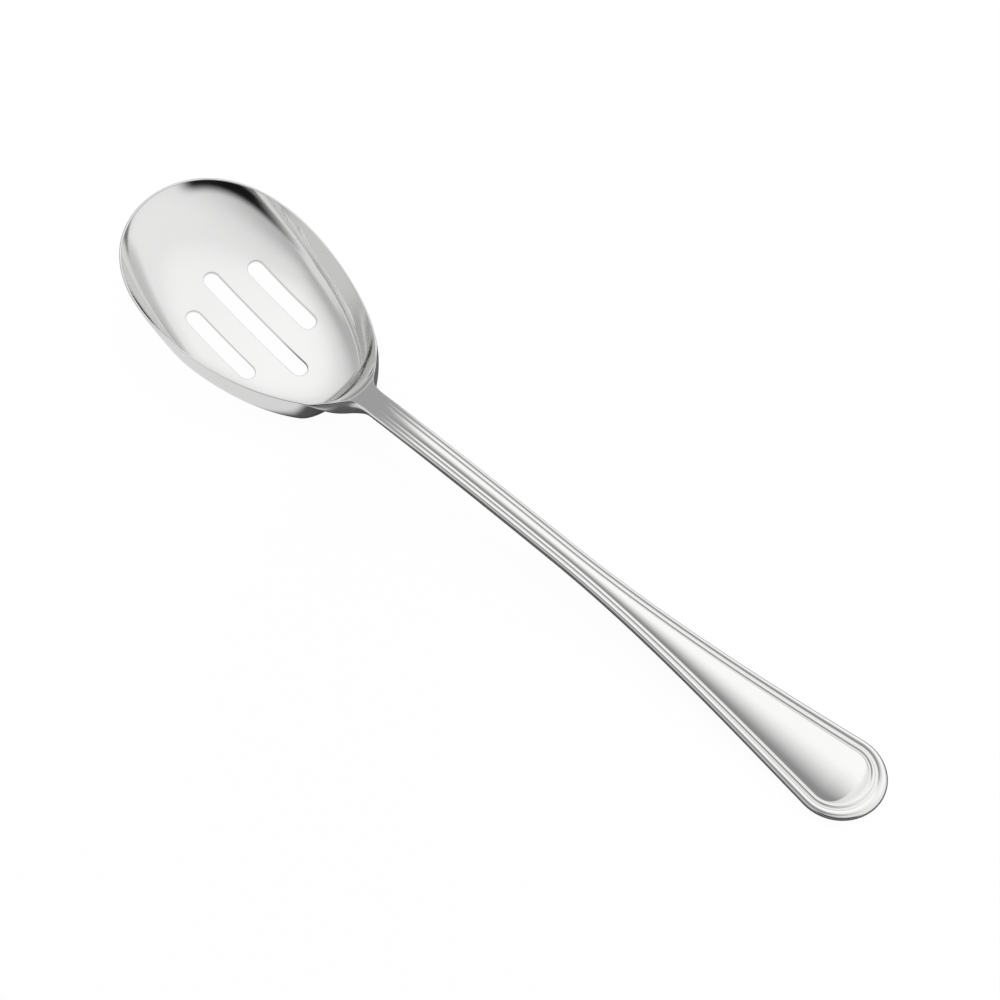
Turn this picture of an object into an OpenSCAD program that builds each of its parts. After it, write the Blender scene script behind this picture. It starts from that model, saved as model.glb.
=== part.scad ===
// Slotted serving spoon in polished stainless steel.
// A pressed bowl with three slots is butt welded to a forged handle and ground flush.
// The spoon lies at rest: the bowl's belly and the underside of the handle's end touch z = 0.
// X runs from the bowl's tip to the handle's end, and Y is the axis that the spoon is symmetric about.

/* [Overall] */
// Length of the spoon from the rim's inner edge at the tip to the handle's end
spoon_len = 298.8; // [270:0.1:320]
// Depth of the small flat that rests on the table, under the belly and under the handle's end
rest_flat = 0.3; // [0.25:0.05:0.4]

/* [Bowl] */
// Length of the hollow from the tip to the neck
bowl_len = 90.8; // [75:0.2:105]
// Width of the hollow between the rim's inner edges
bowl_w = 60.6; // [48:0.2:70]
// Depth of the hollow below the rim
bowl_depth = 15.5; // [10:0.1:22]
// Thickness of the pressed sheet
bowl_t = 1.2; // [1:0.1:2.4]
// Height of the rim at the tip above the rim at the neck
tip_rise = 18.7; // [12:0.1:24]
// Angle at which the rim falls away from the tip
tip_fall_angle = 13.4; // [5:0.1:18]
// How much fuller the outline is at the tip than at the neck, as a share
egg_share = 0.4; // [0:0.01:0.5]
// How much fuller the outline is at both ends than an oval, as a share
fullness_share = 0.15; // [0:0.01:0.3]
// Roundness of the section: a small share has steep walls round a flat floor
roundness_share = 0.11; // [0.1:0.01:1]
// Roundness of the section at the tip, where the floor runs up to the rim in a fuller curve
tip_roundness_share = 0.8; // [0.1:0.01:1.5]
// Share of the hollow's length over which the section turns from the one into the other
tip_fade_share = 0.5; // [0.3:0.01:0.8]
// Roundness of the section at the heel, where the floor runs up to the neck
heel_roundness_share = 0.5; // [0.1:0.01:1]
// How much deeper the hollow is towards the neck than towards the tip, as a share
heel_share = 0.36; // [0:0.01:0.5]

/* [Slots] */
// Width of each slot
slot_w = 5.6; // [4.5:0.1:7]
// Distance from the middle slot to each outer one
slot_pitch = 13.8; // [11:0.1:16]
// Length of the middle slot
mid_slot_len = 45.4; // [34:0.1:50]
// Distance of the middle slot's centre from the tip
mid_slot_x = 44.6; // [40:0.1:48]
// Length of each outer slot
side_slot_len = 29.2; // [20:0.1:36]
// Distance of the outer slots' centres from the tip
side_slot_x = 42.8; // [38:0.1:46]

/* [Neck and shank] */
// Length of the root that the bowl has behind its hollow, up to the weld
neck_run = 9.2; // [8:0.1:14]
// Thickness of the metal at the weld
neck_t = 2.7; // [2.2:0.1:4]
// Extra thickness of the heel under the neck, where the bowl's wall runs into the shank
heel_t = 4.2; // [2:0.1:5]
// Angle at which the handle falls away from the bowl
neck_fall_angle = 1.5; // [0:0.1:5]
// Width of the shank
shank_w = 8.7; // [7.6:0.1:11]
// Length of the shank before the handle flares
shank_len = 75; // [50:1:100]
// Length over which the ribs rise out of the smooth neck
rib_fade = 6; // [4:0.5:20]

/* [Handle end] */
// Width of the rounded end, which is also its diameter
end_w = 28.5; // [22:0.1:36]
// Thickness at the end
end_t = 2.3; // [1.8:0.1:3]
// Angle at which the handle falls at its end
end_fall_angle = 2.4; // [1:0.1:4]
// Angle of each flank to the axis where the rounded end begins
flank_angle = 8; // [4:0.1:11]

/* [Ribs and panel] */
// Width of the outer rib on the shank
outer_rib_shank = 1.5; // [1.2:0.05:1.8]
// Width of the outer rib at the end
outer_rib_end = 2.3; // [1.6:0.05:3]
// Width of the inner rib
inner_rib = 1.1; // [0.8:0.05:1.3]
// Width of the groove between the ribs, at the end
outer_groove = 0.6; // [0.3:0.05:0.8]
// Width of the groove round the panel, at the end
inner_groove = 0.4; // [0.2:0.05:0.6]
// Height of the outer rib above the floor of the grooves
outer_rib_h = 0.5; // [0.3:0.05:0.7]
// Height of the inner rib above the floor of the grooves
inner_rib_h = 0.4; // [0.2:0.05:0.6]
// Height of the panel's crown above the floor of the grooves, at the end
panel_h = 1.4; // [0.5:0.05:1.7]

/* [Hidden] */

// Stations of the bowl's loft, and points across each half of a station
bowl_steps = 34;
across_steps = 10;
station_turn = 150;
lip_angles = [45, 90, 135];
// Places past the stations of the hollow, as shares of the neck's run
neck_shares = [0, 0.1, 0.2, 0.3, 0.45, 0.6, 0.8, 1];
last_station_share = 0.98;

// Softness of the corner between outline and neck, and where along the hollow the root starts
// to thicken, the floor starts to level out into the neck and the section starts to round
corner_share = 0.02;
root_start_share = 0.83;
shoulder_share = 0.85;
heel_fade_start = 0.86;
lip_share = 0.3;
joint_u = 1 + neck_run / bowl_len;
slope_step = 0.0005;

// Narrow grooves on the shank, as shares of their width at the end
shank_groove_share = 0.4;
// Crown of the panel on the shank, as a share of its height at the end
shank_crown_share = 0.2;
// Height of the ribs on the shank, as a share of their height at the end
shank_rib_share = 0.5;
// Fullness of the crown's section: a small power has steep sides and a flat middle
crown_power = 0.75;
// How much wider ribs and grooves are round the tip of the handle than along its flanks
cap_share = 0.42;
// Datum of the ribs: the share of the outer rib's height that lies under the plain surface
sunk_share = 0.5;

handle_len = spoon_len - bowl_len - neck_run;
mid_x = (spoon_len - bowl_t) / 2;
end_r = end_w / 2;
flank_steps = 56;
cap_steps = 20;
panel_shares = [0, 0.4, 0.7, 0.88, 0.97, 1];
under_shares = [1, 0.8, 0.6, 0.3, 0];
rib_angles = [150, 120, 90, 60, 30];
flank_angles = [150, 120, 90];
side_angles = [60, 30, 0, -30, -60];

function mix(a, b, t) = a + (b - a) * t;
function ease(t) = let (c = max(0, min(1, t))) c * c * (3 - 2 * c);

// A curve from height a to height b whose slopes over its length are p and q
function swing(t, a, p, b, q) =
    a * (2 * pow(t, 3) - 3 * pow(t, 2) + 1) + p * (pow(t, 3) - 2 * pow(t, 2) + t)
    + b * (3 * pow(t, 2) - 2 * pow(t, 3)) + q * (pow(t, 3) - pow(t, 2));

// The outline of the hollow, where u is 0 at the tip and 1 where the hollow closes at the neck
function closing(u) = (1 - u + sqrt(pow(1 - u, 2) + pow(corner_share, 2))) / 2;
function plain_form(u) =
    4 * closing(u) * (1 + egg_share * (1 - 2 * u) + fullness_share * pow(1 - 2 * u, 2));
form_peak = max([for (i = [1 : bowl_steps]) let (u = i / bowl_steps) u * plain_form(u)]);
function egg(u) = u * plain_form(u) / form_peak;
neck_half = (shank_w - outer_rib_shank) / 2;
function open_share(u) = 1 - ease((u - 1) / (joint_u - 1));
function half_width(u, half) =
    sqrt(pow(half, 2) * egg(u) * open_share(u) + pow(neck_half * u / joint_u, 2));

// Heights in the bowl, measured from the rim at the neck
function rim_z(u) = swing(u / joint_u, tip_rise, -tan(tip_fall_angle) * (bowl_len + neck_run),
    0, -tan(neck_fall_angle) * (bowl_len + neck_run));
function roundness(u) = mix(tip_roundness_share, roundness_share, ease(u / tip_fade_share))
    + (heel_roundness_share - roundness_share) * ease((u - heel_fade_start) / (1 - heel_fade_start));
function dish(s, round) = (1 + round) * s / (s + round);
function depth_at(u) = 1 + heel_share * (2 * u - 1);
function root_at(u) = neck_t * ease((u - root_start_share) / (joint_u - root_start_share));
function heel_at(u) = heel_t * ease(1 - abs(u - 1) / (joint_u - 1));
function shoulder(u) = 1 - ease((u - shoulder_share) / (joint_u - shoulder_share));
function hollow(u, v) = dish(egg(u) * (1 - v * v) * shoulder(u), roundness(u));
function inner_z(u, v) = rim_z(u) - bowl_depth * depth_at(u) * hollow(u, v);
function outer_z(u, v) =
    rim_z(u) - root_at(u) - heel_at(u) - (bowl_depth * depth_at(u) + bowl_t) * hollow(u, v);

// The outer wall runs one thickness outside the hollow and meets it again at the weld.
// What would reach below the table is pressed flat, so that the spoon rests on it
function outer_x(u) = u <= 1 ? u * (bowl_len + 2 * bowl_t) - bowl_t
    : mix(bowl_len + bowl_t, bowl_len + neck_run, (u - 1) / (joint_u - 1));
belly_z = min([for (i = [1 : bowl_steps]) outer_z(i / bowl_steps, 0)]);
neck_z = -belly_z - rest_flat;
weld_middle = [bowl_len + neck_run, 0, neck_z - neck_t / 2];

// Stations lie closer together at the round tip and at the heel
bowl_stations = concat(
    [for (i = [0 : bowl_steps])
        last_station_share * (1 - cos(station_turn * i / bowl_steps)) / (1 - cos(station_turn))],
    [for (s = neck_shares) mix(1, joint_u, s)]);
function across(j) = sin(90 * (j - across_steps) / across_steps);

function inner_point(u, v) =
    [u * bowl_len, v * half_width(u, bowl_w / 2), inner_z(u, v) + neck_z];
function outer_point(u, v) =
    [outer_x(u), v * half_width(u, bowl_w / 2 + bowl_t), max(0, outer_z(u, v) + neck_z)];

// The rounded edge between hollow and outer wall, which turns into the side of the neck
function outward(u, side) =
    let (
        ahead = pow(half_width(u + slope_step, bowl_w / 2), 2),
        here = pow(half_width(max(0, u - slope_step), bowl_w / 2), 2),
        run = (u < slope_step ? 1 : 2) * slope_step * bowl_len,
        slant = (here - ahead) / run / 2 * (1 - root_at(u) / neck_t),
        way = [slant, side * half_width(u, bowl_w / 2), 0]
    ) way / norm(way);
function lip_point(u, side, angle) =
    let (
        a = inner_point(u, side),
        b = outer_point(u, side),
        level = norm([b.x - a.x, b.y - a.y]),
        fall = abs(b.z - a.z),
        turn = (outward(u, side) * fall + [0, 0, level]) / norm([level, fall]),
        bulge = mix(lip_share * bowl_t, outer_rib_shank / 2, root_at(u) / neck_t)
    ) (a + b) / 2 + (a - b) / 2 * cos(angle) + turn * bulge * sin(angle);
function bowl_loop(u) = concat(
    [for (j = [0 : 2 * across_steps]) inner_point(u, across(j))],
    [for (a = lip_angles) lip_point(u, 1, a)],
    [for (j = [2 * across_steps : -1 : 0]) outer_point(u, across(j))],
    [for (k = [len(lip_angles) - 1 : -1 : 0]) lip_point(u, -1, lip_angles[k])]);
function tip_loop() = concat(
    [inner_point(0, 0)], [for (a = lip_angles) lip_point(0, 1, a)], [outer_point(0, 0)]);

// Index of a loop's point: at the tip each row of the hollow and of the wall is one point
row = 2 * across_steps + 1;
lips = len(lip_angles);
bowl_round = 2 * row + 2 * lips;
function tip_index(j) = j < row ? 0
    : j < row + lips ? j - row + 1
    : j < 2 * row + lips ? lips + 1
    : bowl_round - j;
function bowl_index(i, j) =
    let (k = j % bowl_round) i == 0 ? tip_index(k) : lips + 2 + (i - 1) * bowl_round + k;

// Triangles between two stations, without those that close up at the tip
function real_faces(faces) = [for (f = faces) if (f[0] != f[1] && f[1] != f[2] && f[0] != f[2]) f];

module bowl_shell() {
    stations = len(bowl_stations);
    points = concat(tip_loop(), [for (i = [1 : stations - 1]) each bowl_loop(bowl_stations[i])],
        [weld_middle]);
    skin = [for (i = [0 : stations - 2], j = [0 : bowl_round - 1]) each [
        [bowl_index(i, j), bowl_index(i, j + 1), bowl_index(i + 1, j + 1)],
        [bowl_index(i, j), bowl_index(i + 1, j + 1), bowl_index(i + 1, j)]]];
    weld_face = [for (j = [0 : bowl_round - 1])
        [bowl_index(stations - 1, j), bowl_index(stations - 1, j + 1), len(points) - 1]];
    polyhedron(points, concat(real_faces(skin), weld_face));
}

// One slot, punched square to the line of the rim through the floor below it
module slot_cut(x, y, length) {
    reach = 2 * (bowl_depth + bowl_t);
    half = (length - slot_w) / 2;
    translate([x, y, inner_z(x / bowl_len, 0) + neck_z])
        rotate([0, atan(tip_rise / bowl_len), 0])
            translate([0, 0, -reach / 2])
                linear_extrude(reach)
                    union() {
                        translate([-half, 0])
                            circle(d = slot_w, $fn = 48);
                        translate([half, 0])
                            circle(d = slot_w, $fn = 48);
                        square([2 * half, slot_w], center = true);
                    }
}

module bowl() {
    color("silver")
        translate([-mid_x, 0, 0])
            difference() {
                bowl_shell();
                slot_cut(mid_slot_x, 0, mid_slot_len);
                for (side = [-1, 1])
                    slot_cut(side_slot_x, side * slot_pitch, side_slot_len);
            }
}

// The handle's outline, with x measured from the weld. The flank ends where it touches the end's circle
cap_x = handle_len - end_r;
touch_x = cap_x - end_r * sin(flank_angle);
function flank(x) = let (run = touch_x - shank_len, t = max(0, min(1, (x - shank_len) / run)))
    swing(t, shank_w / 2, 0, end_r * cos(flank_angle), tan(flank_angle) * run);
function flank_slope(x) =
    let (step = slope_step * handle_len, ahead = min(x + step, touch_x))
    (flank(ahead) - flank(x - step)) / (ahead - x + step);
function growth(x) = (flank(x) - shank_w / 2) / (end_r * cos(flank_angle) - shank_w / 2);

// Side view of the handle
function handle_z(x) = swing(x / handle_len, neck_z, -tan(neck_fall_angle) * handle_len,
    end_t - rest_flat, -tan(end_fall_angle) * handle_len);
function handle_t(x) = mix(neck_t, end_t, ease(x / touch_x));

// Half of the section from the middle of the top to the middle of the underside. Each point is
// a distance from the axis and a height over the plain top, and half is the distance to the side
function half_section(half, x, wide) =
    let (
        g = growth(x),
        rise = ease(x / rib_fade),
        ribs = mix(shank_rib_share, 1, g) * rise,
        outer = mix(outer_rib_shank, outer_rib_end, g) * wide,
        groove_a = outer_groove * mix(shank_groove_share, 1, g) * wide,
        inner = inner_rib * wide,
        groove_b = inner_groove * mix(shank_groove_share, 1, g) * wide,
        panel = half - outer - groove_a - inner - groove_b,
        crown = panel_h * mix(shank_crown_share, 1, g) * rise,
        low = -outer_rib_h * sunk_share * ribs,
        top = outer_rib_h * (1 - sunk_share) * ribs,
        crest = half - outer / 2,
        bottom = -handle_t(x),
        middle = panel + groove_b + inner / 2
    ) concat(
        [for (s = panel_shares) [panel * s, low + crown * pow(1 - s * s, crown_power)]],
        [[panel + groove_b, low]],
        [for (a = rib_angles) [middle + inner / 2 * cos(a), low + inner_rib_h * ribs * sin(a)]],
        [[panel + groove_b + inner, low], [half - outer, low]],
        [for (a = flank_angles) [crest + outer / 2 * cos(a), low + (top - low) * sin(a)]],
        [for (a = side_angles)
            [crest + outer / 2 * cos(a), (top + bottom) / 2 + (top - bottom) / 2 * sin(a)]],
        [for (s = under_shares) [crest * s, bottom]]);

// A section stands square to both flanks, so its halves meet at an angle on the axis
function flank_point(x, side, p) =
    let (
        slope = flank_slope(x),
        px = x + flank(x) * slope - p[0] * sin(atan(slope))
    ) [px + bowl_len + neck_run, side * p[0] * cos(atan(slope)), max(0, handle_z(px) + p[1])];
function flank_loop(x) =
    let (half = half_section(flank(x) / cos(atan(flank_slope(x))), x, 1), n = len(half)) concat(
        [for (k = [0 : n - 1]) flank_point(x, 1, half[k])],
        [for (k = [n - 2 : -1 : 1]) flank_point(x, -1, half[k])]);

// Round the end the same half section turns about the circle's centre
cap_turn = 90 + flank_angle;
function cap_arc(angle) =
    let (half = half_section(end_r, touch_x, 1 + cap_share * pow(cos(angle * 90 / cap_turn), 2)))
    [for (k = [1 : len(half) - 2]) let (px = cap_x + half[k][0] * cos(angle))
        [px + bowl_len + neck_run, half[k][0] * sin(angle), max(0, handle_z(px) + half[k][1])]];

half_count = len(half_section(end_r, touch_x, 1));
handle_round = 2 * half_count - 2;
// The first arc is the last section's near half, the last arc is its far half
function cap_index(i, k) = k == 0 || k == half_count - 1 || i == 0
        ? flank_steps * handle_round + k
    : i == cap_steps
        ? flank_steps * handle_round + handle_round - k
    : (flank_steps + 1) * handle_round + (i - 1) * (half_count - 2) + k - 1;

module handle_body() {
    places = [for (i = [0 : flank_steps]) touch_x * i / flank_steps];
    points = concat(
        [for (x = places) each flank_loop(x)],
        [for (i = [1 : cap_steps - 1]) each cap_arc(cap_turn * (1 - 2 * i / cap_steps))],
        [weld_middle]);
    skin = [for (i = [0 : flank_steps - 1], j = [0 : handle_round - 1])
        let (a = i * handle_round + j, b = i * handle_round + (j + 1) % handle_round) each [
            [a, b + handle_round, a + handle_round],
            [a, b, b + handle_round]]];
    cap = [for (i = [0 : cap_steps - 1], k = [0 : half_count - 2]) each [
        [cap_index(i, k), cap_index(i + 1, k + 1), cap_index(i + 1, k)],
        [cap_index(i, k), cap_index(i, k + 1), cap_index(i + 1, k + 1)]]];
    weld_face = [for (j = [0 : handle_round - 1])
        [(j + 1) % handle_round, j, len(points) - 1]];
    polyhedron(points, concat(skin, real_faces(cap), weld_face));
}

module handle() {
    color("gainsboro")
        translate([-mid_x, 0, 0])
            handle_body();
}

bowl();
handle();
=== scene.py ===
"""The looks of a slotted serving spoon in polished stainless steel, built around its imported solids.

Lengths on the spoon are in millimetres along its axis from the bowl's tip, as a maker would mark them
out, and each piece is brought to metres and to the frame's origin when its mesh is finished.
"""
import math

import bmesh
import bpy
import numpy as np
from mathutils import Matrix, Vector
from mathutils.geometry import delaunay_2d_cdt


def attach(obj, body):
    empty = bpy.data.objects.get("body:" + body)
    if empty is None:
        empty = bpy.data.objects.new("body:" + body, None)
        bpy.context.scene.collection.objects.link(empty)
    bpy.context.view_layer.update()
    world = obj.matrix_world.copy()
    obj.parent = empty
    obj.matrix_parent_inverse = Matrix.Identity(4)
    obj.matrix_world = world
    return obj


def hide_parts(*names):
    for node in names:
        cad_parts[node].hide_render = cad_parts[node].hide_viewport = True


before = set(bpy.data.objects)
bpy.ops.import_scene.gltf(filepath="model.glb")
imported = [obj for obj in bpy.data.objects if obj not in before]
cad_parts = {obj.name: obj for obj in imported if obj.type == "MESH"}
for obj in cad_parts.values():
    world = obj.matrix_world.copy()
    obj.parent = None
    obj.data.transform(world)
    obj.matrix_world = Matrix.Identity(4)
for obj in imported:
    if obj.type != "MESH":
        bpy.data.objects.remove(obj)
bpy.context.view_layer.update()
bpy.ops.object.select_all(action="DESELECT")

# ---------------------------------------------------------------------------
# The camera stands above and to the right of the spoon's near side and looks down at it with a
# long lens, level with the horizon. Its place was fitted to the outline of the spoon.
sight = bpy.data.cameras.new("camera")
sight.sensor_width = 36.0
sight.lens = 109.29
sight.clip_end = 10.0
camera = bpy.data.objects.new("camera", sight)
bpy.context.scene.collection.objects.link(camera)
camera_place = Vector((0.36121, -0.39229, 0.77129))
camera_right = Vector((0.73745, 0.67540, 0.0))
camera_up = Vector((-0.55292, 0.60371, 0.57430))
camera_back = camera_right.cross(camera_up)
camera.matrix_world = Matrix((camera_right, camera_up, camera_back)).transposed().to_4x4()
camera.location = camera_place
bpy.context.scene.camera = camera
bpy.context.scene.view_settings.view_transform = "Standard"

# ---------------------------------------------------------------------------
# The bowl: a blank of stainless steel sheet, pressed to a deep oval with steep walls, with three
# slots punched through its floor and a thick root that is welded to the handle. Its edges are
# rounded and the whole of it is polished to a mirror.
SPOON_LEN = 298.8
HOLLOW_LEN = 90.8
HOLLOW_HALF = 30.28
HOLLOW_DEPTH = 15.5
SHEET = 1.2
RIM_SHEET = 0.7
RIM_IN = SHEET - RIM_SHEET
TIP_RISE = 18.7
TIP_FALL = math.tan(math.radians(13.4))
ROOT_RUN = 9.2
WELD_T = 2.7
HEEL_T = 4.2
NECK_FALL = math.tan(math.radians(1.5))
SHANK_HALF = 4.35
RIB_SHANK = 1.5
FLAT = 0.3
WELD_X = HOLLOW_LEN + ROOT_RUN
WELD_U = WELD_X / HOLLOW_LEN
MIDDLE_X = (SPOON_LEN - SHEET) / 2
MM = 0.001


def ease(t):
    c = np.clip(t, 0.0, 1.0)
    return c * c * (3 - 2 * c)


def swing(t, a, p, b, q):
    """A curve from a to b with slopes p and q over its length."""
    return (a * (2 * t**3 - 3 * t**2 + 1) + p * (t**3 - 2 * t**2 + t)
            + b * (3 * t**2 - 2 * t**3) + q * (t**3 - t**2))


# The outline is fuller at the tip, a little fuller at both ends, and turns softly into the neck
EGG = 0.4
FULLNESS = 0.15
NECK_CORNER = 0.02


def egg_form(u):
    closing = (1 - u + np.sqrt((1 - u) ** 2 + NECK_CORNER**2)) / 2
    return u * closing * (1 + EGG * (1 - 2 * u) + FULLNESS * (1 - 2 * u) ** 2)


FINE_SHARES = np.linspace(0, 1, 2001)
EGG_PEAK = egg_form(FINE_SHARES).max()


def half_width(u, half):
    """Half of the bowl's width at the share u of the hollow's length."""
    open_share = 1 - ease((u - 1) / (WELD_U - 1))
    neck_half = SHANK_HALF - RIB_SHANK / 2
    return np.sqrt(half**2 * egg_form(u) / EGG_PEAK * open_share + (neck_half * u / WELD_U) ** 2)


def rim_height(u):
    return swing(u / WELD_U, TIP_RISE, -TIP_FALL * WELD_X, 0, -NECK_FALL * WELD_X)


# The section is round at the tip and at the heel, and has steep walls round a flat floor between
TIP_ROUND = 0.8
FLOOR_ROUND = 0.11
HEEL_ROUND = 0.5
TIP_ROUND_TO = 0.5
HEEL_ROUND_FROM = 0.86
LEVEL_FROM = 0.85
ROOT_FROM = 0.83
HEEL_DEEPER = 0.36


def hollow_share(u, v):
    """How deep the hollow is at the share v of its half width, as a share of the depth at u."""
    fill = egg_form(u) / EGG_PEAK * (1 - v * v) * (1 - ease((u - LEVEL_FROM) / (WELD_U - LEVEL_FROM)))
    at_floor = ease(u / TIP_ROUND_TO)
    at_heel = ease((u - HEEL_ROUND_FROM) / (1 - HEEL_ROUND_FROM))
    roundness = (TIP_ROUND + (FLOOR_ROUND - TIP_ROUND) * at_floor
                 + (HEEL_ROUND - FLOOR_ROUND) * at_heel)
    return (1 + roundness) * fill / (fill + roundness)


def full_depth(u):
    return HOLLOW_DEPTH * (1 + HEEL_DEEPER * (2 * u - 1))


def root_share(u):
    """How far the sheet has thickened into the root that is welded to the handle."""
    return ease((u - ROOT_FROM) / (WELD_U - ROOT_FROM))


def inner_height(u, v):
    return rim_height(u) - full_depth(u) * hollow_share(u, v)


def outer_height(u, v):
    heel = HEEL_T * ease(1 - abs(u - 1) / (WELD_U - 1))
    solid = WELD_T * root_share(u) + heel
    return rim_height(u) - solid - (full_depth(u) + SHEET) * hollow_share(u, v)


NECK_Z = -outer_height(FINE_SHARES, 0).min() - FLAT


def station(u, out):
    """Distance along the spoon of a face of the sheet that lies a given way outside the hollow."""
    past = HOLLOW_LEN + out + (ROOT_RUN - out) * (u - 1) / (WELD_U - 1)
    return np.where(u <= 1, u * (HOLLOW_LEN + 2 * out) - out, past)


def inner_surface(x, y):
    u = np.clip((x + RIM_IN) / (HOLLOW_LEN + 2 * RIM_IN), 0, 1)
    v = np.clip(y / half_width(u, HOLLOW_HALF + RIM_IN), -1, 1)
    return inner_height(u, v) + NECK_Z


def outer_surface(x, y):
    u = np.clip((x + SHEET) / (HOLLOW_LEN + 2 * SHEET), 0, 1)
    v = np.clip(y / half_width(u, HOLLOW_HALF + SHEET), -1, 1)
    return np.maximum(outer_height(u, v) + NECK_Z, 0)


def blank(name, rows, columns):
    """A flat sheet of rows by columns, added as a grid. Returns it with each vertex's row and column."""
    bpy.ops.mesh.primitive_grid_add(x_subdivisions=rows, y_subdivisions=columns, size=1)
    sheet = bpy.context.active_object
    sheet.name = name
    flat = np.zeros(len(sheet.data.vertices) * 3)
    sheet.data.vertices.foreach_get("co", flat)
    flat = flat.reshape(-1, 3) + 0.5
    i = np.rint(flat[:, 0] * rows).astype(int)
    j = np.rint(flat[:, 1] * columns).astype(int)
    return sheet, i, j


def to_frame(points):
    """Brings points in millimetres along the spoon to metres from the frame's origin."""
    return (points - np.array([MIDDLE_X, 0, 0])) * MM


def press(sheet, points):
    """Moves a sheet's vertices to points given in millimetres."""
    sheet.data.vertices.foreach_set("co", to_frame(points).ravel())
    sheet.data.update()


# Rows of the grids across the bowl lie closer together at the round tip
HOLLOW_ROWS = 150
ROOT_ROWS = 26
ACROSS = 112
ROW_TURN = math.radians(150)
LAST_HOLLOW_ROW = 0.985
turn = np.linspace(0, ROW_TURN, HOLLOW_ROWS + 1)
stations = np.concatenate([
    LAST_HOLLOW_ROW * (1 - np.cos(turn)) / (1 - math.cos(ROW_TURN)),
    np.linspace(LAST_HOLLOW_ROW, WELD_U, ROOT_ROWS + 1)[1:]])
shares = np.sin(np.linspace(-math.pi / 2, math.pi / 2, ACROSS + 1))
ROWS = len(stations) - 1


def hollow_points(u, v):
    return np.stack([station(u, RIM_IN), v * half_width(u, HOLLOW_HALF + RIM_IN),
                     inner_height(u, v) + NECK_Z], -1)


def wall_points(u, v):
    return np.stack([station(u, SHEET), v * half_width(u, HOLLOW_HALF + SHEET),
                     np.maximum(outer_height(u, v) + NECK_Z, 0)], -1)


LIP_STEP = 0.0005
LIP_COLUMNS = 12


def lip_points(u, side, angle):
    """The rounded edge of the bowl, which turns into the side of the neck."""
    a, b = hollow_points(u, np.full_like(u, side)), wall_points(u, np.full_like(u, side))
    ahead = half_width(u + LIP_STEP, HOLLOW_HALF) ** 2
    behind = half_width(np.maximum(0, u - LIP_STEP), HOLLOW_HALF) ** 2
    run = np.where(u < LIP_STEP, 1, 2) * LIP_STEP * HOLLOW_LEN
    root = root_share(u)
    way = np.stack([(behind - ahead) / run / 2 * (1 - root),
                    side * half_width(u, HOLLOW_HALF), np.zeros_like(u)], -1)
    way /= np.linalg.norm(way, axis=-1, keepdims=True)
    level = np.linalg.norm((b - a)[:, :2], axis=-1)
    fall = np.abs(b[:, 2] - a[:, 2])
    up = np.stack([np.zeros_like(u), np.zeros_like(u), level], -1)
    turned = (way * fall[:, None] + up) / np.hypot(level, fall)[:, None]
    bulge = (0.5 * RIM_SHEET * (1 - root) + RIB_SHANK / 2 * root)[:, None]
    return (a + b) / 2 + (a - b) / 2 * np.cos(angle)[:, None] + turned * bulge * np.sin(angle)[:, None]


# The slots are punched square to the line of the rim, so each is a straight prism that leans with it
SLOT_R = 2.8
SLOT_LEAN = math.atan(TIP_RISE / HOLLOW_LEN)
SLOT_ALONG = np.array([math.cos(SLOT_LEAN), 0, -math.sin(SLOT_LEAN)])
SLOT_DOWN = -np.array([math.sin(SLOT_LEAN), 0, math.cos(SLOT_LEAN)])
# Each slot's middle, along and across the bowl, and its length
SLOTS = [(44.6, 0.0, 45.4), (42.8, -13.8, 29.2), (42.8, 13.8, 29.2)]
EDGE_R = 0.25
# Rings of vertices lie this far out from a slot's wall, over its rounded edge and just past it
EDGE_STEPS = [0.0, 0.03, 0.09, 0.16, 0.26, 0.7]
SLOT_END_STEPS = 26
SLOT_SIDE_STEPS = 50
SLOT_WALL_COLUMNS = 3
# The slots lie in this part of the floor, which is meshed anew round them
PATCH_FROM = 0.16
PATCH_TO = 0.84
PATCH_ACROSS = 0.74
SPARE_GAP = 0.25
SAME_POINT = 1e-7
MEETING_STEPS = 16


def slot_foot(slot):
    """The middle of a slot, on the inner face."""
    return np.array([slot[0], slot[1], inner_surface(slot[0], 0.0)])


def slot_outline(slot, wider):
    """Points round a slot that is wider by a given amount, along and across the slot."""
    half = slot[2] / 2 - SLOT_R
    r = SLOT_R + wider
    turn = np.linspace(-math.pi / 2, math.pi / 2, SLOT_END_STEPS + 1)[:-1]
    side = np.linspace(-half, half, SLOT_SIDE_STEPS + 1)[:-1]
    right = np.stack([half + r * np.cos(turn), r * np.sin(turn)], -1)
    top = np.stack([-side, np.full_like(side, r)], -1)
    loop = np.concatenate([right, top])
    return np.concatenate([loop, -loop])


def on_surface(slot, outline, surface):
    """Where the slot's straight walls meet a surface of the bowl."""
    start = slot_foot(slot) + outline[:, :1] * SLOT_ALONG + outline[:, 1:] * np.array([0, 1, 0])
    depth = np.zeros(len(outline))
    for _ in range(MEETING_STEPS):
        at = start + depth[:, None] * SLOT_DOWN
        depth += (at[:, 2] - surface(at[:, 0], at[:, 1])) / math.cos(SLOT_LEAN)
    return start + depth[:, None] * SLOT_DOWN


def clear_of_slot(slot, points):
    """Distance of points from a slot's outline, below zero inside it."""
    along = (points - slot_foot(slot)) @ SLOT_ALONG
    over = np.maximum(np.abs(along) - (slot[2] / 2 - SLOT_R), 0)
    return np.hypot(over, points[:, 1] - slot[1]) - SLOT_R


def slot_rings(slot, surface, side):
    """Each ring round a slot, as it lies on the surface and as it is let down to round the edge."""
    rings = []
    for step in EDGE_STEPS:
        ring = on_surface(slot, slot_outline(slot, step), surface)
        drop = EDGE_R - math.sqrt(EDGE_R**2 - max(EDGE_R - step, 0) ** 2)
        rings.append((ring, ring + side * drop * SLOT_DOWN))
    return rings


def neighbours(start, count):
    """Pairs of neighbours round a closed loop of points that are numbered from start."""
    return [(start + n, start + (n + 1) % count) for n in range(count)]


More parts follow.
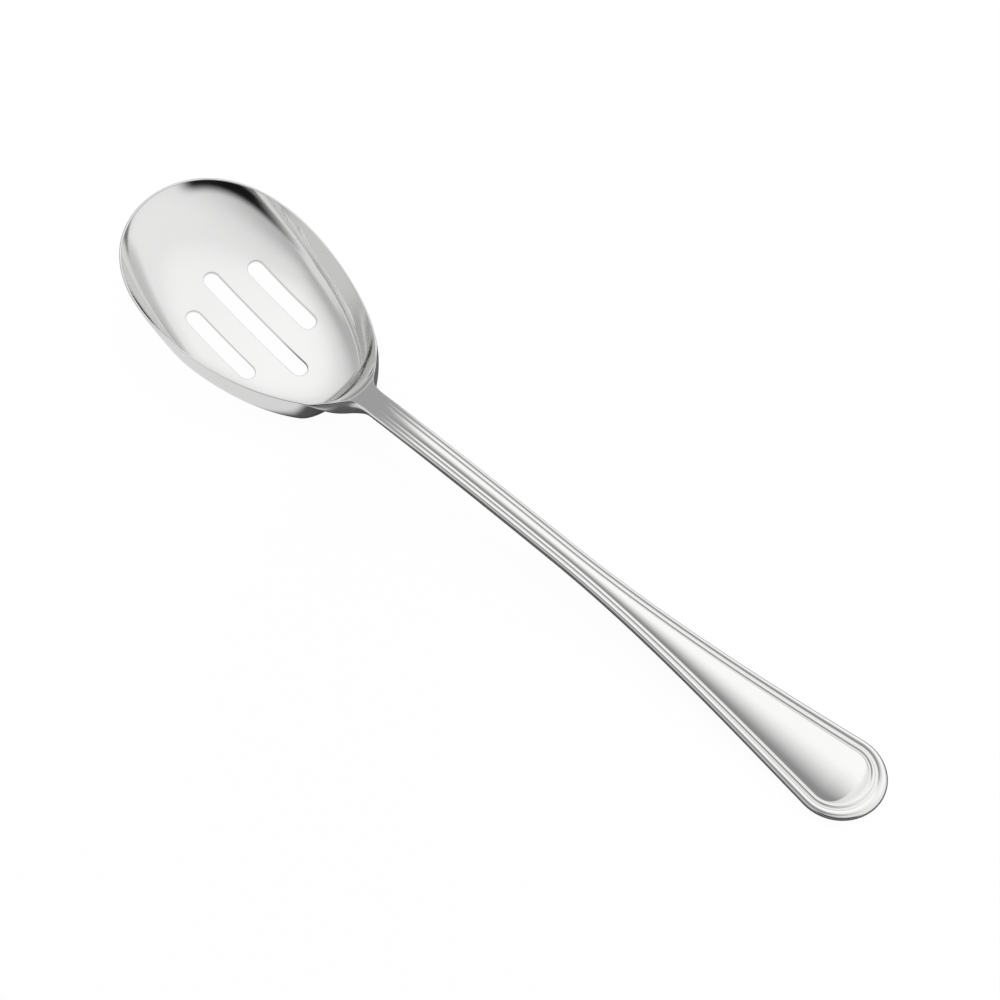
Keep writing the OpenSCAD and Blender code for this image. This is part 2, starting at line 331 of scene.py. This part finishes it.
def fill_patch(mesh, place, flat, rims, surface):
    """Adds faces between places, laid out by their flat plan inside the rims, but not over the slots."""
    done = delaunay_2d_cdt([Vector(p) for p in flat], rims, [], 0, SAME_POINT)
    origin = [n[0] if n else None for n in done[3]]
    new = [mesh.verts.new(Vector(to_frame(place[k]))) for k in origin]
    middle = np.array([np.mean([flat[origin[k]] for k in f], axis=0) for f in done[2]])
    heights = surface(middle[:, 0], middle[:, 1])
    solid = np.ones(len(middle), bool)
    for slot in SLOTS:
        solid &= clear_of_slot(slot, np.column_stack([middle, heights])) > 0
    for f, keep in zip(done[2], solid):
        if keep:
            mesh.faces.new([new[k] for k in f])


def floor_with_slots(name, points_of, surface, side):
    """One face of the pressed sheet, with the slots cut out of it and their edges rounded over.
    Returns it with the slots' edges."""
    sheet, i, j = blank(name, ROWS, ACROSS)
    u, v = stations[i], shares[j]
    points = points_of(u, v)
    press(sheet, points)
    low, high = np.searchsorted(stations, [PATCH_FROM, PATCH_TO])
    left, right = np.where(np.abs(shares) <= PATCH_ACROSS)[0][[0, -1]]

    mesh = bmesh.new()
    mesh.from_mesh(sheet.data)
    mesh.verts.ensure_lookup_table()
    inside = (i >= low) & (i <= high) & (j >= left) & (j <= right)
    gone = [f for f in mesh.faces if all(inside[w.index] for w in f.verts)]
    bmesh.ops.delete(mesh, geom=gone, context="FACES_ONLY")

    number = {(a, b): n for n, (a, b) in enumerate(zip(i, j))}
    border = ([(a, left) for a in range(low, high)] + [(high, b) for b in range(left, right)]
              + [(a, right) for a in range(high, low, -1)]
              + [(low, b) for b in range(right, left, -1)])
    rims = neighbours(0, len(border))
    spare = points[(i > low) & (i < high) & (j > left) & (j < right)]
    for slot in SLOTS:
        spare = spare[clear_of_slot(slot, spare) > EDGE_STEPS[-1] + SPARE_GAP]
    place = [points[number[ab]] for ab in border] + list(spare)
    flat = [p[:2] for p in place]
    edges = []
    for slot in SLOTS:
        rings = slot_rings(slot, surface, side)
        edges.append(rings[0][1])
        rims += neighbours(len(place), len(rings[0][1]))
        for ring, rounded in rings:
            place += list(rounded)
            flat += [p[:2] for p in ring]
    fill_patch(mesh, place, flat, rims, surface)
    loose = [w for w in mesh.verts if not w.link_faces]
    bmesh.ops.delete(mesh, geom=loose, context="VERTS")
    mesh.to_mesh(sheet.data)
    mesh.free()
    return sheet, edges


inside_face, inner_edges = floor_with_slots("spoon_bowl", hollow_points, inner_surface, 1)
outside_face, outer_edges = floor_with_slots("outside_face", wall_points, outer_surface, -1)
parts = [inside_face, outside_face]
for side in (-1, 1):
    lip, i, j = blank("lip", ROWS, LIP_COLUMNS)
    press(lip, lip_points(stations[i], side, j / LIP_COLUMNS * math.pi))
    parts.append(lip)
for top, bottom in zip(inner_edges, outer_edges):
    wall, i, j = blank("slot_wall", len(top), SLOT_WALL_COLUMNS)
    share = (j / SLOT_WALL_COLUMNS)[:, None]
    press(wall, top[i % len(top)] * (1 - share) + bottom[i % len(top)] * share)
    parts.append(wall)


CLOSENESS = 2e-6
SHARPEST_SMOOTH = math.radians(42)


def weld_together(pieces):
    """Joins pieces that meet edge to edge into one closed skin with its faces pointing outwards."""
    bpy.ops.object.select_all(action="DESELECT")
    for piece in pieces:
        piece.select_set(True)
    bpy.context.view_layer.objects.active = pieces[0]
    bpy.ops.object.join()
    bpy.ops.object.mode_set(mode="EDIT")
    bpy.ops.mesh.select_all(action="SELECT")
    bpy.ops.mesh.remove_doubles(threshold=CLOSENESS)
    bpy.ops.mesh.dissolve_degenerate(threshold=CLOSENESS / 10)
    bpy.ops.mesh.select_all(action="DESELECT")
    bpy.ops.mesh.select_non_manifold(use_wire=False, use_boundary=True, use_multi_face=False,
                                     use_non_contiguous=False, use_verts=False)
    bpy.ops.mesh.fill()
    bpy.ops.mesh.select_all(action="SELECT")
    bpy.ops.mesh.normals_make_consistent(inside=False)
    bpy.ops.object.mode_set(mode="OBJECT")
    bpy.ops.object.shade_smooth_by_angle(angle=SHARPEST_SMOOTH)


weld_together(parts)
bowl = inside_face
bowl.name = bowl.data.name = "spoon_bowl"

# Polished stainless steel: a mirror, a little warm, with the faint haze and the fine lines that the
# buffing wheel leaves. The haze and the lines are a group, so that each piece has its own amount.
polish = bpy.data.node_groups.new("polish", "ShaderNodeTree")
for label, kind in (("Haze", "NodeSocketFloat"), ("Line Scale", "NodeSocketFloat"),
                    ("Line Depth", "NodeSocketFloat")):
    polish.interface.new_socket(label, in_out="INPUT", socket_type=kind)
polish.interface.new_socket("Roughness", in_out="OUTPUT", socket_type="NodeSocketFloat")
polish.interface.new_socket("Color", in_out="OUTPUT", socket_type="NodeSocketColor")
polish.interface.new_socket("Normal", in_out="OUTPUT", socket_type="NodeSocketVector")
p = polish.nodes
given, result = p.new("NodeGroupInput"), p.new("NodeGroupOutput")
coordinates = p.new("ShaderNodeTexCoord")
clouds = p.new("ShaderNodeTexNoise")
clouds.inputs["Scale"].default_value = 38.0
clouds.inputs["Detail"].default_value = 5.0
spread = p.new("ShaderNodeMapRange")
spread.inputs["From Min"].default_value = 0.3
spread.inputs["From Max"].default_value = 0.7
spread.inputs["To Min"].default_value = 0.5
spread.inputs["To Max"].default_value = 1.5
haze = p.new("ShaderNodeMath")
haze.operation = "MULTIPLY"
tone = p.new("ShaderNodeMix")
tone.data_type = "RGBA"
tone.inputs["A"].default_value = (0.80, 0.80, 0.795, 1)
tone.inputs["B"].default_value = (0.86, 0.86, 0.855, 1)
stretch = p.new("ShaderNodeMapping")
stretch.inputs["Scale"].default_value = (0.04, 1.0, 1.0)
lines = p.new("ShaderNodeTexNoise")
lines.inputs["Detail"].default_value = 2.0
bump = p.new("ShaderNodeBump")
bump.inputs["Distance"].default_value = 0.00001
for a, b in (
        (coordinates.outputs["Object"], clouds.inputs["Vector"]),
        (clouds.outputs["Fac"], spread.inputs["Value"]),
        (spread.outputs["Result"], haze.inputs[0]),
        (given.outputs["Haze"], haze.inputs[1]),
        (haze.outputs["Value"], result.inputs["Roughness"]),
        (clouds.outputs["Fac"], tone.inputs["Factor"]),
        (tone.outputs["Result"], result.inputs["Color"]),
        (coordinates.outputs["Object"], stretch.inputs["Vector"]),
        (stretch.outputs["Vector"], lines.inputs["Vector"]),
        (given.outputs["Line Scale"], lines.inputs["Scale"]),
        (lines.outputs["Fac"], bump.inputs["Height"]),
        (given.outputs["Line Depth"], bump.inputs["Strength"]),
        (bump.outputs["Normal"], result.inputs["Normal"])):
    polish.links.new(a, b)


def polished_steel(name, haze, line_scale, line_depth):
    """A material of polished steel with its own haze and buffing lines."""
    steel = bpy.data.materials.new(name)
    steel.use_nodes = True
    nodes, links = steel.node_tree.nodes, steel.node_tree.links
    shader = nodes["Principled BSDF"]
    shader.inputs["Metallic"].default_value = 1.0
    finish = nodes.new("ShaderNodeGroup")
    finish.node_tree = polish
    finish.inputs["Haze"].default_value = haze
    finish.inputs["Line Scale"].default_value = line_scale
    finish.inputs["Line Depth"].default_value = line_depth
    links.new(finish.outputs["Color"], shader.inputs["Base Color"])
    links.new(finish.outputs["Roughness"], shader.inputs["Roughness"])
    links.new(finish.outputs["Normal"], shader.inputs["Normal"])
    return steel


bowl.data.materials.clear()
bowl.data.materials.append(polished_steel("bowl_steel", haze=0.09, line_scale=900.0, line_depth=0.05))
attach(bowl, "root")
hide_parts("bowl")

# ---------------------------------------------------------------------------
# The handle: a forged bar of the same steel. Five ribs run down the shank; the outer two and the
# next two part as it flares, go round the rounded end, and frame a panel with a low crown.
HANDLE_LEN = SPOON_LEN - WELD_X
SHANK_LEN = 75.0
END_R = 14.25
END_T = 2.3
END_FALL = math.tan(math.radians(2.4))
OUTER_RIB = 2.3
OUTER_GROOVE = 0.6
INNER_RIB = 1.1
INNER_GROOVE = 0.4
SHANK_GROOVE_SHARE = 0.4
OUTER_RIB_H = 0.5
INNER_RIB_H = 0.4
SHANK_RIB_SHARE = 0.5
RIB_FADE = 6.0
PANEL_H = 1.4
SHANK_CROWN_SHARE = 0.2
CROWN_POWER = 0.75
WIDER_AT_END = 0.42
FLANK = math.radians(8)
CAP_X = HANDLE_LEN - END_R
TOUCH_X = CAP_X - END_R * math.sin(FLANK)
FLANK_RISE = END_R * math.cos(FLANK) - SHANK_HALF


def flank(x):
    run = TOUCH_X - SHANK_LEN
    t = np.clip((x - SHANK_LEN) / run, 0, 1)
    return swing(t, SHANK_HALF, 0, SHANK_HALF + FLANK_RISE, math.tan(FLANK) * run)


SLOPE_STEP = 0.1


def flank_slope(x):
    ahead = min(x + SLOPE_STEP, TOUCH_X)
    return (flank(ahead) - flank(x - SLOPE_STEP)) / (ahead - x + SLOPE_STEP)


def back_height(x):
    t = x / HANDLE_LEN
    return swing(t, NECK_Z, -NECK_FALL * HANDLE_LEN, END_T - FLAT, -END_FALL * HANDLE_LEN)


def bar_thickness(x):
    return WELD_T + (END_T - WELD_T) * ease(x / TOUCH_X)


PANEL_SHARES = np.sin(np.linspace(0, 1, 17) * math.pi / 2)
RIB_TURN = np.radians(np.linspace(165, 15, 11))
CREST_TURN = np.radians(np.linspace(165, 90, 8))
SIDE_TURN = np.radians(np.linspace(75, -75, 13))
UNDER_SHARES = np.linspace(1, 0, 12)


def grown(start, g):
    """A size as a share of what it is at the end: start on the shank, and 1 once g has grown to 1."""
    return start + (1 - start) * g


def half_section(half, x, wide):
    """Distance from the axis and height over the plain back, from the middle of the top to the
    middle of the underside."""
    g = (flank(x) - SHANK_HALF) / FLANK_RISE
    rise = ease(x / RIB_FADE)
    ribs = grown(SHANK_RIB_SHARE, g) * rise
    outer = (RIB_SHANK + (OUTER_RIB - RIB_SHANK) * g) * wide
    outer_groove = OUTER_GROOVE * grown(SHANK_GROOVE_SHARE, g) * wide
    inner = INNER_RIB * wide
    inner_groove = INNER_GROOVE * grown(SHANK_GROOVE_SHARE, g) * wide
    panel = half - outer - outer_groove - inner - inner_groove
    crown = PANEL_H * grown(SHANK_CROWN_SHARE, g) * rise
    low = -OUTER_RIB_H / 2 * ribs
    top = OUTER_RIB_H / 2 * ribs
    crest = half - outer / 2
    under = -bar_thickness(x)
    middle = panel + inner_groove + inner / 2
    out = [(panel * s, low + crown * (1 - s * s) ** CROWN_POWER) for s in PANEL_SHARES]
    out += [(panel + inner_groove, low)]
    out += [(middle + inner / 2 * math.cos(a), low + INNER_RIB_H * ribs * math.sin(a)) for a in RIB_TURN]
    out += [(panel + inner_groove + inner, low), (half - outer, low)]
    out += [(crest + outer / 2 * math.cos(a), low + (top - low) * math.sin(a)) for a in CREST_TURN]
    out += [(crest + outer / 2 * math.cos(a),
             (top + under) / 2 + (top - under) / 2 * math.sin(a)) for a in SIDE_TURN]
    out += [(crest * s, under) for s in UNDER_SHARES]
    return np.array(out)


FLANK_ROWS = 300
CAP_ROWS = 72
sections = []
for n in range(FLANK_ROWS + 1):
    x = TOUCH_X * n / FLANK_ROWS
    lean = math.atan(flank_slope(x))
    half = half_section(flank(x) / math.cos(lean), x, 1.0)
    along = x + flank(x) * math.tan(lean) - half[:, 0] * math.sin(lean)
    sections.append((along, half[:, 0] * math.cos(lean), half[:, 1]))
CAP_TURN = math.pi / 2 + FLANK
for n in range(1, CAP_ROWS // 2 + 1):
    a = CAP_TURN * (1 - 2 * n / CAP_ROWS)
    wide = 1 + WIDER_AT_END * math.cos(a * math.pi / 2 / CAP_TURN) ** 2
    half = half_section(END_R, TOUCH_X, wide)
    sections.append((CAP_X + half[:, 0] * math.cos(a), half[:, 0] * math.sin(a), half[:, 1]))
halves = []
for side in (1, -1):
    sheet, i, j = blank("spoon_handle", len(sections) - 1, len(sections[0][0]) - 1)
    along = np.array([s[0] for s in sections])[i, j]
    aside = np.array([s[1] for s in sections])[i, j]
    over = np.array([s[2] for s in sections])[i, j]
    press(sheet, np.stack([along + WELD_X, side * aside,
                           np.maximum(back_height(along) + over, 0)], -1))
    halves.append(sheet)
weld_together(halves)
handle = halves[0]
handle.name = handle.data.name = "spoon_handle"
handle.data.materials.clear()
handle.data.materials.append(polished_steel("handle_steel", haze=0.10, line_scale=1200.0, line_depth=0.05))
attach(handle, "root")
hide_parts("handle")

# ---------------------------------------------------------------------------
# The studio: a pale paper floor, and a tent of white cloth over it that is lit from the far side and
# from overhead. The tent is open towards the camera, where the dark room shows low over the floor.


def wired(kind, operation, *given):
    """A math node whose inputs are numbers or other nodes' outputs. Returns its output."""
    node = nodes.new(kind)
    node.operation = operation
    for socket, value in zip(node.inputs, given):
        if isinstance(value, (int, float, tuple)):
            socket.default_value = value
        else:
            links.new(value, socket)
    return node.outputs["Value"]


def faded(value, start, end, low=0.0, high=1.0):
    """A smooth step from low, where the value is at start, to high, where it is at end."""
    node = nodes.new("ShaderNodeMapRange")
    node.interpolation_type = "SMOOTHSTEP"
    for label, number in (("From Min", start), ("From Max", end), ("To Min", low), ("To Max", high)):
        node.inputs[label].default_value = number
    links.new(value, node.inputs["Value"])
    return node.outputs["Result"]


FLOOR_BELOW = 0.0002
bpy.ops.object.select_all(action="DESELECT")
bpy.ops.mesh.primitive_plane_add(size=6, location=(0, 0, -FLOOR_BELOW))
floor = bpy.context.active_object
floor.name = "floor"
PAPER_WHITE = 1.03
PAPER_SEEN = 0.93
PAPER_MIRRORED = 0.75
paper = bpy.data.materials.new("floor_paper")
paper.use_nodes = True
nodes, links = paper.node_tree.nodes, paper.node_tree.links
nodes.remove(nodes["Principled BSDF"])
matt = nodes.new("ShaderNodeBsdfDiffuse")
matt.inputs["Color"].default_value = (0.9, 0.9, 0.9, 1)
glow = nodes.new("ShaderNodeEmission")
glow.inputs["Color"].default_value = (1, 1, 1, 1)
seen = nodes.new("ShaderNodeLightPath")
place = nodes.new("ShaderNodeTexCoord")
axes = nodes.new("ShaderNodeSeparateXYZ")
links.new(place.outputs["Object"], axes.inputs[0])
# The metal mirrors the paper's glow, which is painted light and shade: bright in front of the bowl and
# where it is seen through its slots, and painted shade under the belly and elsewhere
painted_light_below_slots = wired("ShaderNodeMath", "MULTIPLY", faded(axes.outputs["X"], -0.088, -0.102),
                    faded(axes.outputs["X"], -0.15, -0.135))
# The glow's strength is a painted shadow of the spoon: it fades to dark towards the handle and under the
# belly, and stays bright under the slots.
tone = wired("ShaderNodeMath", "MULTIPLY", faded(axes.outputs["X"], -0.03, -0.065, 0.05, 0.86),
             wired("ShaderNodeMath", "MAXIMUM", painted_light_below_slots, faded(axes.outputs["Y"], -0.0165, -0.0235)))
white = wired("ShaderNodeMath", "MULTIPLY", seen.outputs["Is Camera Ray"], PAPER_WHITE)
links.new(wired("ShaderNodeMath", "MAXIMUM", tone, white), glow.inputs["Strength"])
# The metal sees mostly this painted glow, and only a little of the paper's real shading.
mirrored = wired("ShaderNodeMath", "MULTIPLY", seen.outputs["Is Glossy Ray"], PAPER_MIRRORED)
blend = nodes.new("ShaderNodeMixShader")
links.new(wired("ShaderNodeMath", "MULTIPLY_ADD", seen.outputs["Is Camera Ray"], PAPER_SEEN, mirrored),
          blend.inputs["Fac"])
links.new(matt.outputs["BSDF"], blend.inputs[1])
links.new(glow.outputs["Emission"], blend.inputs[2])
links.new(blend.outputs["Shader"], nodes["Material Output"].inputs["Surface"])
floor.data.materials.append(paper)

bpy.ops.mesh.primitive_uv_sphere_add(segments=64, ring_count=32, radius=2.8)
tent = bpy.context.active_object
tent.name = "light_tent"
tent.visible_camera = False
cloth = bpy.data.materials.new("lit_cloth")
cloth.use_nodes = True
nodes, links = cloth.node_tree.nodes, cloth.node_tree.links
nodes.remove(nodes["Principled BSDF"])
place = nodes.new("ShaderNodeTexCoord")
direction = nodes.new("ShaderNodeVectorMath")
direction.operation = "NORMALIZE"
links.new(place.outputs["Object"], direction.inputs[0])
CLOTH_LEVEL = 0.64
DOOR_DARKNESS = 0.985
level = CLOTH_LEVEL
# Each light behind the cloth, or shade on it: its azimuth and elevation, the angles at which it has
# faded out and is full, and what it adds to the plain level of the cloth
for azimuth, elevation, wide, tight, gain in (
        (50, 35, 88, 18, 0.29),
        (88, 60, 30, 3, 0.13),
        (152, 64, 36, 10, 0.10),
        (-115, 30, 65, 15, -0.13),
        (-106, 25, 28, 10, 0.28),
        (82, 6, 24, 8, -0.30),
        (160, 14, 38, 8, -0.30)):
    a, e = math.radians(azimuth), math.radians(elevation)
    toward = wired("ShaderNodeVectorMath", "DOT_PRODUCT", direction.outputs["Vector"],
                   (math.cos(a) * math.cos(e), math.sin(a) * math.cos(e), math.sin(e)))
    part = faded(toward, math.cos(math.radians(wide)), math.cos(math.radians(tight)), 0.0, gain)
    level = wired("ShaderNodeMath", "ADD", level, part)
axes = nodes.new("ShaderNodeSeparateXYZ")
links.new(direction.outputs["Vector"], axes.inputs[0])
bearing = wired("ShaderNodeMath", "ARCTAN2", axes.outputs["Y"], axes.outputs["X"])
height = wired("ShaderNodeMath", "ARCSINE", axes.outputs["Z"])
# The door is widest over the floor and fades out above it and below
door = wired("ShaderNodeMath", "MULTIPLY",
             faded(bearing, math.radians(-93), math.radians(-72)),
             faded(bearing, math.radians(2), math.radians(-18)))
door = wired("ShaderNodeMath", "MULTIPLY", door, faded(height, math.radians(31), math.radians(16)))
door = wired("ShaderNodeMath", "MULTIPLY", door, faded(height, math.radians(-2), math.radians(6), 0.5))
shut = wired("ShaderNodeMath", "MULTIPLY_ADD", door, -DOOR_DARKNESS, 1.0)
shine = nodes.new("ShaderNodeEmission")
links.new(wired("ShaderNodeMath", "MULTIPLY", level, shut), shine.inputs["Strength"])
links.new(shine.outputs["Emission"], nodes["Material Output"].inputs["Surface"])
tent.data.materials.append(cloth)

# A screen leans over the handle from the neck. It glows, and its glow is painted light and shade, graded
# from one side to the other. Only its face towards the handle shows, and the near half of the handle
# mirrors it.
bpy.ops.object.select_all(action="DESELECT")
SCREEN_FOOT = (-0.062, 0, 0.022)
SCREEN_LEAN = math.radians(117)
NECK_MIRRORS = (-0.062, 0, 0.016)
bpy.ops.mesh.primitive_plane_add(size=2)
screen = bpy.context.active_object
screen.name = "painted_shade_screen"
bpy.ops.object.mode_set(mode="EDIT")
bpy.ops.transform.resize(value=(1, 1.6, 1))
bpy.ops.transform.translate(value=(-1, 0, 0))
bpy.ops.transform.rotate(value=-SCREEN_LEAN, orient_axis="Y", center_override=(0, 0, 0))
bpy.ops.transform.translate(value=SCREEN_FOOT)
bpy.ops.object.mode_set(mode="OBJECT")
screen.visible_camera = False
grey = bpy.data.materials.new("screen_painted_shade")
grey.use_nodes = True
nodes, links = grey.node_tree.nodes, grey.node_tree.links
nodes.remove(nodes["Principled BSDF"])
place = nodes.new("ShaderNodeTexCoord")
axes = nodes.new("ShaderNodeSeparateXYZ")
links.new(place.outputs["Object"], axes.inputs[0])
lean = wired("ShaderNodeMath", "ARCTAN2",
             wired("ShaderNodeMath", "MULTIPLY", axes.outputs["Y"], -1.0),
             wired("ShaderNodeMath", "SUBTRACT", axes.outputs["Z"], 0.01))
off_axis = wired("ShaderNodeVectorMath", "DISTANCE", place.outputs["Object"], NECK_MIRRORS)
# Round the point that the neck mirrors, the glow is pulled towards 0.40: painted shade on the start of the
# shank.
close = faded(off_axis, 0.055, 0.02)
# The glow grades from bright to dark across the screen and grows a little brighter again past the dark
# part: painted light and shade.
tone = wired("ShaderNodeMath", "ADD", faded(lean, math.radians(-37), math.radians(7), 1.14, 0.31),
             faded(lean, math.radians(30), math.radians(65), 0.0, 0.30))
tone = wired("ShaderNodeMath", "MULTIPLY_ADD", close,
             wired("ShaderNodeMath", "SUBTRACT", 0.40, tone), tone)
shade = nodes.new("ShaderNodeEmission")
links.new(tone, shade.inputs["Strength"])
clear = nodes.new("ShaderNodeBsdfTransparent")
face = nodes.new("ShaderNodeNewGeometry")
front = wired("ShaderNodeMath", "SUBTRACT", 1.0, face.outputs["Backfacing"])
fan = wired("ShaderNodeMath", "MULTIPLY", faded(lean, math.radians(-84), math.radians(-62)),
            faded(off_axis, 1.6, 1.1))
cover = nodes.new("ShaderNodeMixShader")
links.new(wired("ShaderNodeMath", "MULTIPLY", front, wired("ShaderNodeMath", "MAXIMUM", fan, close)),
          cover.inputs["Fac"])
links.new(clear.outputs["BSDF"], cover.inputs[1])
links.new(shade.outputs["Emission"], cover.inputs[2])
links.new(cover.outputs["Shader"], nodes["Material Output"].inputs["Surface"])
screen.data.materials.append(grey)

world = bpy.data.worlds.new("studio")
bpy.context.scene.world = world
world.use_nodes = True
room = world.node_tree.nodes["Background"]
room.inputs["Color"].default_value = (1, 1, 1, 1)
room.inputs["Strength"].default_value = 1.0
